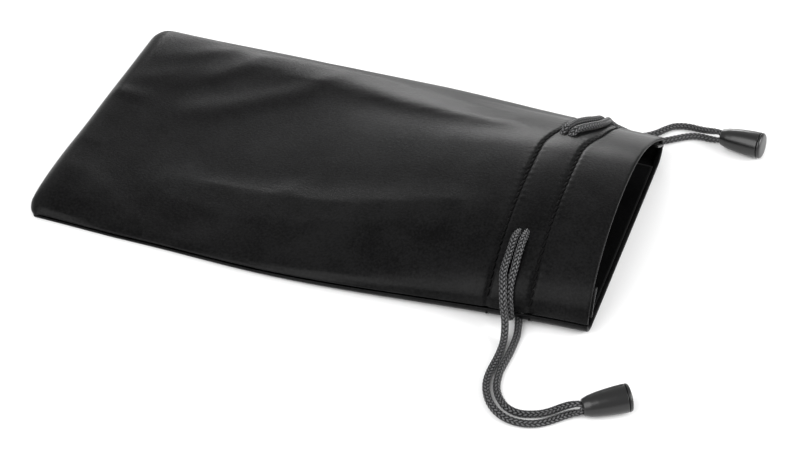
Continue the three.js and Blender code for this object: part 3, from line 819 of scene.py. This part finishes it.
def draped(grid):
    """How far the panel moves when its free part hangs over a form like a pair of folded glasses. The
    panel is sewn down at its sides and closed end, and its hem holds the mouth's end."""
    size = 10 * MM  # simulated ten times as large, well above the solver's smallest distances
    normal = grid_normals(grid)
    s, across = COARSE_S[:, None], COARSE_T[None, :] * PANEL_WIDTH
    crease = np.interp(s, [0, 64, 106, 165], [92, 86, 75.5, 71])
    near_rim = 22 + 6 * ramp(s, 60, 140)
    support = np.maximum(bump(across, crease, 7), bump(across, near_rim, 8)) * ramp(s, 18, 50)
    form_grid = grid - normal * (0.8 + 0.9 * (1 - support))[:, :, None]
    rows, columns = grid.shape[:2]
    quads = strip_faces(rows, columns)
    sheet = add_mesh("drape", grid.reshape(-1, 3) * (size / MM), quads)
    form = add_mesh("form", form_grid.reshape(-1, 3) * (size / MM), quads)
    form.modifiers.new("collision", "COLLISION")
    form.collision.thickness_outer = 0.01
    form.collision.cloth_friction = 12
    hem_start = POUCH_LENGTH - HEM_DEPTH
    sewn = (COARSE_T[None, :] < 0.01) | (COARSE_T[None, :] > 0.99)
    held = sewn | (s < 3) | (s > hem_start)
    pins = sheet.vertex_groups.new(name="pins")
    pins.add([int(i) for i in np.flatnonzero(held.ravel())], 1.0, "REPLACE")
    cloth = sheet.modifiers.new("cloth", "CLOTH")
    settings = cloth.settings
    settings.vertex_group_mass = "pins"
    settings.quality = 6
    settings.mass = 0.2
    settings.tension_stiffness = settings.compression_stiffness = 18
    settings.shear_stiffness = 8
    settings.bending_stiffness = 0.8
    settings.shrink_min = -0.008
    cloth.collision_settings.distance_min = 0.008
    scene = bpy.context.scene
    for frame_number in range(1, 26):
        scene.frame_set(frame_number)
    result = sheet.evaluated_get(bpy.context.evaluated_depsgraph_get()).to_mesh()
    moved = np.empty(rows * columns * 3, np.float32)
    result.vertices.foreach_get("co", moved)
    moved = moved.reshape(rows, columns, 3) / size - grid
    scene.frame_set(1)
    for piece in (sheet, form):
        bpy.data.objects.remove(piece, do_unlink=True)
    free = ramp(s, 2, 14) * (1 - ramp(s, 118, hem_start)) * ramp(across, 0, 6)
    free = free * (1 - ramp(across, PANEL_WIDTH - 6, PANEL_WIDTH))
    moved *= free[:, :, None]
    for _ in range(2):
        for axis in (0, 1):
            edge = [(1, 1) if axis == a else (0, 0) for a in range(3)]
            wide = np.pad(moved, edge, "edge").swapaxes(0, axis)
            moved = (0.25 * wide[:-2] + 0.5 * wide[1:-1] + 0.25 * wide[2:]).swapaxes(0, axis)
    length = np.linalg.norm(moved, axis=-1, keepdims=True)
    return moved * np.minimum(1, MOST_DRAPE / length.clip(1e-6))


DRAPE = settled(COARSE_S, COARSE_T)
DRAPE = DRAPE + draped(rolled(RAW, COARSE_S, COARSE_T, 0.0, UPPER_END) + DRAPE)

FINE_S = np.concatenate(
    [np.linspace(0, 6, 19) ** 2 / 6, np.arange(7, 126, 1.0), np.arange(126, POUCH_LENGTH + 0.1, 0.5)]
)
FINE_T = np.linspace(0, 1, 189)
ROLL_ANGLES = np.radians([30, 60, 90, 120, 150])
LIP_ANGLES = np.radians([20, 40, 60, 80, 100, 120, 140, 160, 180])


def cloth_grid(s, t, edge=0.3, seam=END_SEAM):
    """The upper panel's middle surface as it lies, at every s and t."""
    return rolled(spread(RAW, s, t), s, t, edge, seam) + spread(DRAPE, s, t)


def row_drag(t):
    """How far the far cords drag the upper rows toward the mouth."""
    return ROW_DRAG * ramp(t, 0.62, 0.8)


def rows_relief(s, t):
    """Height of the cloth round the two stitch rows, and the puff of the channel between them."""
    place = np.asarray(s)[:, None] - row_drag(t)[None, :]
    across = np.asarray(t)[None, :] * PANEL_WIDTH
    relief = np.zeros((len(s), len(t)))
    for row, shift in ((FRONT_ROW, FRONT_SHIFT), (BACK_ROW, BACK_SHIFT)):
        off = place - (POUCH_LENGTH - row)
        hole = 0.5 + 0.5 * np.cos(2 * math.pi * (across - shift) / STITCH_PITCH)
        relief -= (ROW_DEPTH + 0.15 * hole**3) * bump(off, 0, 0.6)
        uneven = 1 + 0.8 * np.sin(across / 4.3 + row) * np.sin(across / 2.9 + 2 * row)
        relief += 0.05 * (1 - hole) * uneven * (bump(off, 1.4, 0.9) + bump(off, -1.4, 0.9))
    middle = POUCH_LENGTH - (FRONT_ROW + BACK_ROW) / 2
    relief += 0.3 * np.clip(1 - ((place - middle) / 6.0) ** 2, 0, None)
    return relief


def edge_roll(edge, outward, inward, radius, angles):
    """Extra lines of points that carry a surface round an edge and back inside."""
    a = np.asarray(angles)[:, None, None]
    return edge[None] + outward[None] * radius * np.sin(a) + inward[None] * radius * (1 - np.cos(a))


def upper_shape():
    """Outer face of the upper panel, and the way out of it."""
    grid = cloth_grid(FINE_S, FINE_T, 0.0, UPPER_END)
    normal = grid_normals(grid)
    lift = HALF_CLOTH + rows_relief(FINE_S, FINE_T) + folds(FINE_S, FINE_T)
    return grid + normal * lift[:, :, None], normal


def with_edges(face, normal, offset):
    """A face with its lip turned in at the mouth and its sides rolled in at the seams. offset is how
    far the face lies inside the panel's outer one."""
    forward = unit(face[-1] - face[-2])
    lip = edge_roll(face[-1], forward, -normal[-1], LIP_RADIUS - offset, LIP_ANGLES)
    tuck = lip[-1] - forward * np.array([0.6, 1.4])[:, None, None]
    tuck += normal[-1] * np.array([0.05, 0.1])[:, None, None]
    face = np.concatenate([face, lip, tuck])
    normal = np.concatenate([normal, np.repeat(normal[-1:], len(LIP_ANGLES) + 2, 0)])
    sides = []
    for column, next_column in ((0, 1), (-1, -2)):
        outward = unit(face[:, column] - face[:, next_column])
        radius = SEAM_ROLL - offset * 0.5
        roll = edge_roll(face[:, column], outward, -normal[:, column], radius, ROLL_ANGLES)
        sides.append(roll.transpose(1, 0, 2))
    return np.concatenate([sides[0][:, ::-1], face, sides[1]], 1)


def add_panel(name, outer, normal, s, across, below):
    """A panel of cloth from its outer face. below says that the face looks down."""
    inner = outer - normal * CLOTH_THICKNESS
    s = np.concatenate([s, s[-1] + 0.3 * np.arange(1, len(LIP_ANGLES) + 3)])
    extra = 0.3 * np.arange(1, len(ROLL_ANGLES) + 1)
    across = np.concatenate([across[0] - extra[::-1], across, across[-1] + extra])
    uv = np.stack(np.meshgrid(s, across, indexing="ij"), -1)
    faces = [with_edges(outer, normal, 0.0), with_edges(inner, normal, CLOTH_THICKNESS)]
    if below:
        faces.reverse()
    return add_sheet(name, *faces, uv, CLOTH)


def add_upper_panel():
    outer, _ = upper_shape()
    normal = grid_normals(outer)
    return add_panel("upper_panel_cloth", outer, normal, FINE_S, FINE_T * PANEL_WIDTH, False)


def side_profile(half, seam, k, inset):
    """The lower panel's turned-up side, from its top (0) round to the base (1), as (y, z)."""
    rise = seam - SEAM_GROOVE - 0.5
    run = rise * SIDE_RUN
    angle = k * math.pi / 2
    return (
        half + HALF_CLOTH - 0.3 - run + (run - inset) * np.cos(angle),
        rise - (rise - inset) * np.sin(angle),
    )


def lower_face(s, columns, inset):
    """Face of the lower panel. Columns 0 to 1 are its near side, 1 to 2 its base, 2 to 3 the far side."""
    edges = spread(RAW + DRAPE, s, [0.0, 1.0])
    s = np.asarray(s)[:, None]
    c = np.asarray(columns)[None, :]
    near_side = near_half(s) - near_slack(s)
    near_y, near_z = side_profile(near_side, near_seam(s), np.minimum(c, 1), inset)
    far_y, far_z = side_profile(far_half(s), far_seam(s), np.minimum(3 - c, 1), inset)
    share = np.clip(c - 1, 0, 1)
    y = far_y * share - near_y * (1 - share)
    z = np.where(c < 1, near_z, np.where(c > 2, far_z, inset))
    edge = edges[:, :, 0] - HALF_LENGTH
    side = np.minimum(near_half(s) + y, far_half(s) - y) + HALF_CLOTH
    x = edge[:, :1] * (1 - share) + edge[:, 1:] * share + corner_shift(s, side)
    return np.stack([x, y, z + 0 * x], -1)


LOWER_COLUMNS = np.concatenate(
    [np.linspace(0, 1, 13), np.linspace(1, 2, 81)[1:], np.linspace(2, 3, 13)[1:]]
)


def add_lower_panel():
    outer = lower_face(FINE_S, LOWER_COLUMNS, 0.0)
    # the closed end rounds up to the seam
    round_end = np.clip(1 - FINE_S / 1.4, 0, 1)[:, None]
    outer[:, :, 2] = np.maximum(outer[:, :, 2], 0.95 * round_end**2)
    normal = -grid_normals(outer)
    return add_panel("lower_panel_cloth", outer, normal, FINE_S, LOWER_COLUMNS * 31.0, True)


upper_panel = add_upper_panel()
lower_panel = add_lower_panel()


# Hems, allowances

HEM_BACK = np.concatenate([np.arange(HEM_DEPTH, 0.7, -0.7), [0.7]])  # back from the mouth's edge
HEM_HALF = 0.3
ALLOWANCE_THICKNESS = 0.55


def hem_inside(back):
    """Depth of the hem's middle inside the panel's middle, back being from the mouth's edge."""
    gap, channel = 1.0, CORD_LIFT + CORD_RADIUS + 0.7
    return gap + (channel - gap) * ramp(back, 16.4, 18.8) * (1 - ramp(back, 24.8, 27.2))


def add_upper_hem():
    t = np.linspace(0.015, 0.985, 120)
    grid = cloth_grid(POUCH_LENGTH - HEM_BACK, t)
    normal = grid_normals(grid)
    depth = hem_inside(HEM_BACK)[:, None, None]
    uv = np.stack(np.meshgrid(HEM_BACK, t * PANEL_WIDTH, indexing="ij"), -1)
    outer, inner = (grid + normal * (half - depth) for half in (HEM_HALF, -HEM_HALF))
    return add_sheet("upper_hem_cloth", outer, inner, uv, LINING)


def add_lower_hem():
    columns = np.linspace(1.03, 1.97, 80)
    grid = lower_face(POUCH_LENGTH - HEM_BACK, columns, 0.0)
    middle = HALF_CLOTH + hem_inside(HEM_BACK)[:, None]
    low, top = grid.copy(), grid.copy()
    low[:, :, 2] = middle - HEM_HALF
    top[:, :, 2] = middle + HEM_HALF
    uv = np.stack(np.meshgrid(HEM_BACK, columns * 80, indexing="ij"), -1)
    return add_sheet("lower_hem_cloth", top, low, uv, LINING)


def add_side_allowance(name, near):
    """Follows the upper panel's inside and peeks 1 mm out of the mouth, where its cut edge shows with a
    painted highlight.
    """
    peek = [POUCH_LENGTH, POUCH_LENGTH + 1.0]
    s = np.concatenate([np.arange(8, 125, 4.0), np.arange(125, POUCH_LENGTH, 1.0), peek])
    t = np.linspace(0.012, ALLOWANCE_SHARE * 1.12, 16)
    t = t if near else 1 - t[::-1]
    grid = cloth_grid(np.minimum(s, POUCH_LENGTH), t)
    grid[-1] = grid[-2] + unit(grid[-2] - grid[-4])
    normal = grid_normals(grid)
    back = np.clip(POUCH_LENGTH - s, 0, None)
    past = ramp(s, 125, 132) * (hem_inside(back) + HEM_HALF - HALF_CLOTH)
    outer = grid - normal * (HALF_CLOTH + 0.35 + past)[:, None, None]
    uv = np.stack(np.meshgrid(s, t * PANEL_WIDTH, indexing="ij"), -1)
    piece = add_sheet(name, outer, outer - normal * ALLOWANCE_THICKNESS, uv, LINING)
    piece.data.materials.append(CUT_EDGE_HIGHLIGHT)
    # the front row's faces take the cut edge's painted highlight
    front = len(s) - 1
    for face in piece.data.polygons:
        rows = {(i % (len(s) * len(t))) // len(t) for i in face.vertices}
        if rows == {front}:
            face.material_index = 1
    return piece


def add_end_allowance():
    s = np.array([1.6, 2.5, 3.5, 5.0, 7.4])
    t = np.linspace(0.05, 0.95, 60)
    grid = cloth_grid(s, t)
    normal = grid_normals(grid)
    outer = grid - normal * 0.75
    uv = np.stack(np.meshgrid(s, t * PANEL_WIDTH, indexing="ij"), -1)
    inner = outer - normal * ALLOWANCE_THICKNESS
    return add_sheet("end_allowance_cloth", outer, inner, uv, LINING)


upper_hem = add_upper_hem()
lower_hem = add_lower_hem()
near_allowance = add_side_allowance("near_allowance_cloth", True)
far_allowance = add_side_allowance("far_allowance_cloth", False)
end_allowance = add_end_allowance()


# Stitches


def stitch_line(bundle, path, normal, first=0.0):
    """Separate stitches along a path: each rises from its needle hole, lies flat and dives again."""
    distance = along(path)
    for i in range(int((distance[-1] - first) / STITCH_PITCH)):
        start = first + i * STITCH_PITCH + STITCH_GAP / 2
        k = np.linspace(0, 1, 9)
        place = start + (STITCH_PITCH - STITCH_GAP) * k
        line = np.stack([np.interp(place, distance, path[:, a]) for a in range(3)], -1)
        out = unit(np.stack([np.interp(place, distance, normal[:, a]) for a in range(3)], -1))
        rise = 0.32 * np.sin(math.pi * k) ** 0.5 - 0.24
        slant = 0.24 + rng.normal(0, 0.06)
        across = np.cross(unit(np.gradient(line, axis=0)), out)
        line = line + out * rise[:, None] + across * (slant * (k - 0.5) * 2)[:, None]
        bundle.add(line, out, across, 0.33, 0.2, 8, start)


def add_upper_stitches(name, row, shift):
    outer, normal = upper_shape()
    i = np.interp(POUCH_LENGTH - row + row_drag(FINE_T), FINE_S, np.arange(len(FINE_S)))
    a, column = i.astype(int), np.arange(len(FINE_T))
    f = (i - a)[:, None]
    line = outer[a, column] * (1 - f) + outer[a + 1, column] * f
    out = normal[a, column]
    keep = (FINE_T > 0.012) & (FINE_T < 0.988)
    bundle = Bundle()
    stitch_line(bundle, (line + out * 0.17)[keep], out[keep], shift)
    return bundle.make(name, THREAD)


def add_lower_stitches(name, row):
    """The row shows on the lower panel's outside, at its turned-up sides, and runs under the base."""
    columns = np.linspace(0.06, 2.94, 300)
    line = lower_face([POUCH_LENGTH - row], columns, 0.0)[0]
    ahead = lower_face([POUCH_LENGTH - row + 1], columns, 0.0)[0]
    out = unit(np.cross(np.gradient(line, axis=0), ahead - line))
    line[:, 2] = np.maximum(line[:, 2], 0.3)
    bundle = Bundle()
    stitch_line(bundle, line, out)
    return bundle.make(name, THREAD)


upper_front = add_upper_stitches("upper_front_stitches", FRONT_ROW, FRONT_SHIFT)
upper_back = add_upper_stitches("upper_back_stitches", BACK_ROW, BACK_SHIFT)
lower_front = add_lower_stitches("lower_front_stitches", FRONT_ROW)
lower_back = add_lower_stitches("lower_back_stitches", BACK_ROW)


def add_seam_thread():
    """The seam's thread, in the groove between the panels."""
    s = np.arange(164, 8, -2.0)
    near = spread(RAW + DRAPE, s, [0.0])[:, 0]
    far = spread(RAW + DRAPE, s[::-1], [1.0])[:, 0]
    near += np.array([-HALF_LENGTH, 0.75, 0])
    far += np.array([-HALF_LENGTH, -0.75, 0])
    near[:, 2] = near_seam(s) - 0.8
    far[:, 2] = far_seam(s[::-1]) - 0.8
    t = np.linspace(0.08, 0.92, 30)
    end = cloth_grid([1.3], t)[0]
    end[:, 2] = 1.22
    path = smooth_path(np.concatenate([near, end, far]))[::3]
    normal, side = frames(path)
    bundle = Bundle()
    bundle.add(path, normal, side, 0.18, 0.18, 6)
    return bundle.make("seam_thread_line", THREAD)


seam_thread = add_seam_thread()


# Floor, light


def add_stage():
    material, *_ = new_material("floor", grey(0.92), 0.9, 0.1)
    bpy.ops.mesh.primitive_plane_add(size=6, location=(0, 0, 0))
    floor = bpy.context.object
    floor.name = "floor"
    floor.data.materials.append(material)

    def area(name, size, location, target, power):
        data = bpy.data.lights.new(name, "AREA")
        data.shape = "RECTANGLE"
        data.size, data.size_y = size
        data.energy = power
        light = bpy.data.objects.new(name, data)
        light.location = location
        beam = Vector(target) - Vector(location)
        light.rotation_euler = beam.to_track_quat("-Z", "Y").to_euler()
        bpy.context.scene.collection.objects.link(light)

    area("rim", (0.5, 0.2), (-0.4, 1.1, 0.28), (0, 0, 0.02), 4.2)
    area("fill", (1.3, 1.3), (-0.55, -0.95, 0.95), (0, 0, 0), 20)
    area("right", (0.9, 0.6), (1.2, 0.1, 0.6), (0, 0, 0), 16)
    world = bpy.data.worlds.new("world")
    bpy.context.scene.world = world
    world.use_nodes = True
    background = world.node_tree.nodes["Background"]
    background.inputs["Color"].default_value = (1, 1, 1, 1)
    background.inputs["Strength"].default_value = 0.7
    bpy.context.scene.view_settings.view_transform = "Standard"


add_stage()


# What moves with what

for piece, cad in (
    (upper_panel, "upper_panel"),
    (upper_hem, "upper_hem"),
    (upper_front, "upper_front_stitching"),
    (upper_back, "upper_back_stitching"),
    (near_allowance, "near_seam_allowance"),
    (far_allowance, "far_seam_allowance"),
):
    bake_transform(piece)
    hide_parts(cad)

for piece, cad in (
    (lower_panel, "lower_panel"),
    (lower_hem, "lower_hem"),
    (lower_front, "lower_front_stitching"),
    (lower_back, "lower_back_stitching"),
    (end_allowance, "end_seam_allowance"),
    (seam_thread, "seam_thread"),
):
    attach(piece, "pouch")
    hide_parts(cad)

for side, cord, start, end in (
    ("near", near_cord, (0.062, -0.050, 0), (0.086, -0.068, 0)),
    ("far", far_cord, (0.070, 0.046, 0), (0.096, 0.055, 0)),
):
    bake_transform(cord)
    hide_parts(side + "_drawcord")

for piece, body, cad in (
    (near_bell, "near_bell", "near_cord_end"),
    (near_cap, "near_cap", "near_cord_end_cap"),
    (near_knot, "near_cord_knot", "near_knot"),
    (far_bell, "far_bell", "far_cord_end"),
    (far_cap, "far_cap", "far_cord_end_cap"),
    (far_knot, "far_cord_knot", "far_knot"),
):
    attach(piece, body)
    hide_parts(cad)
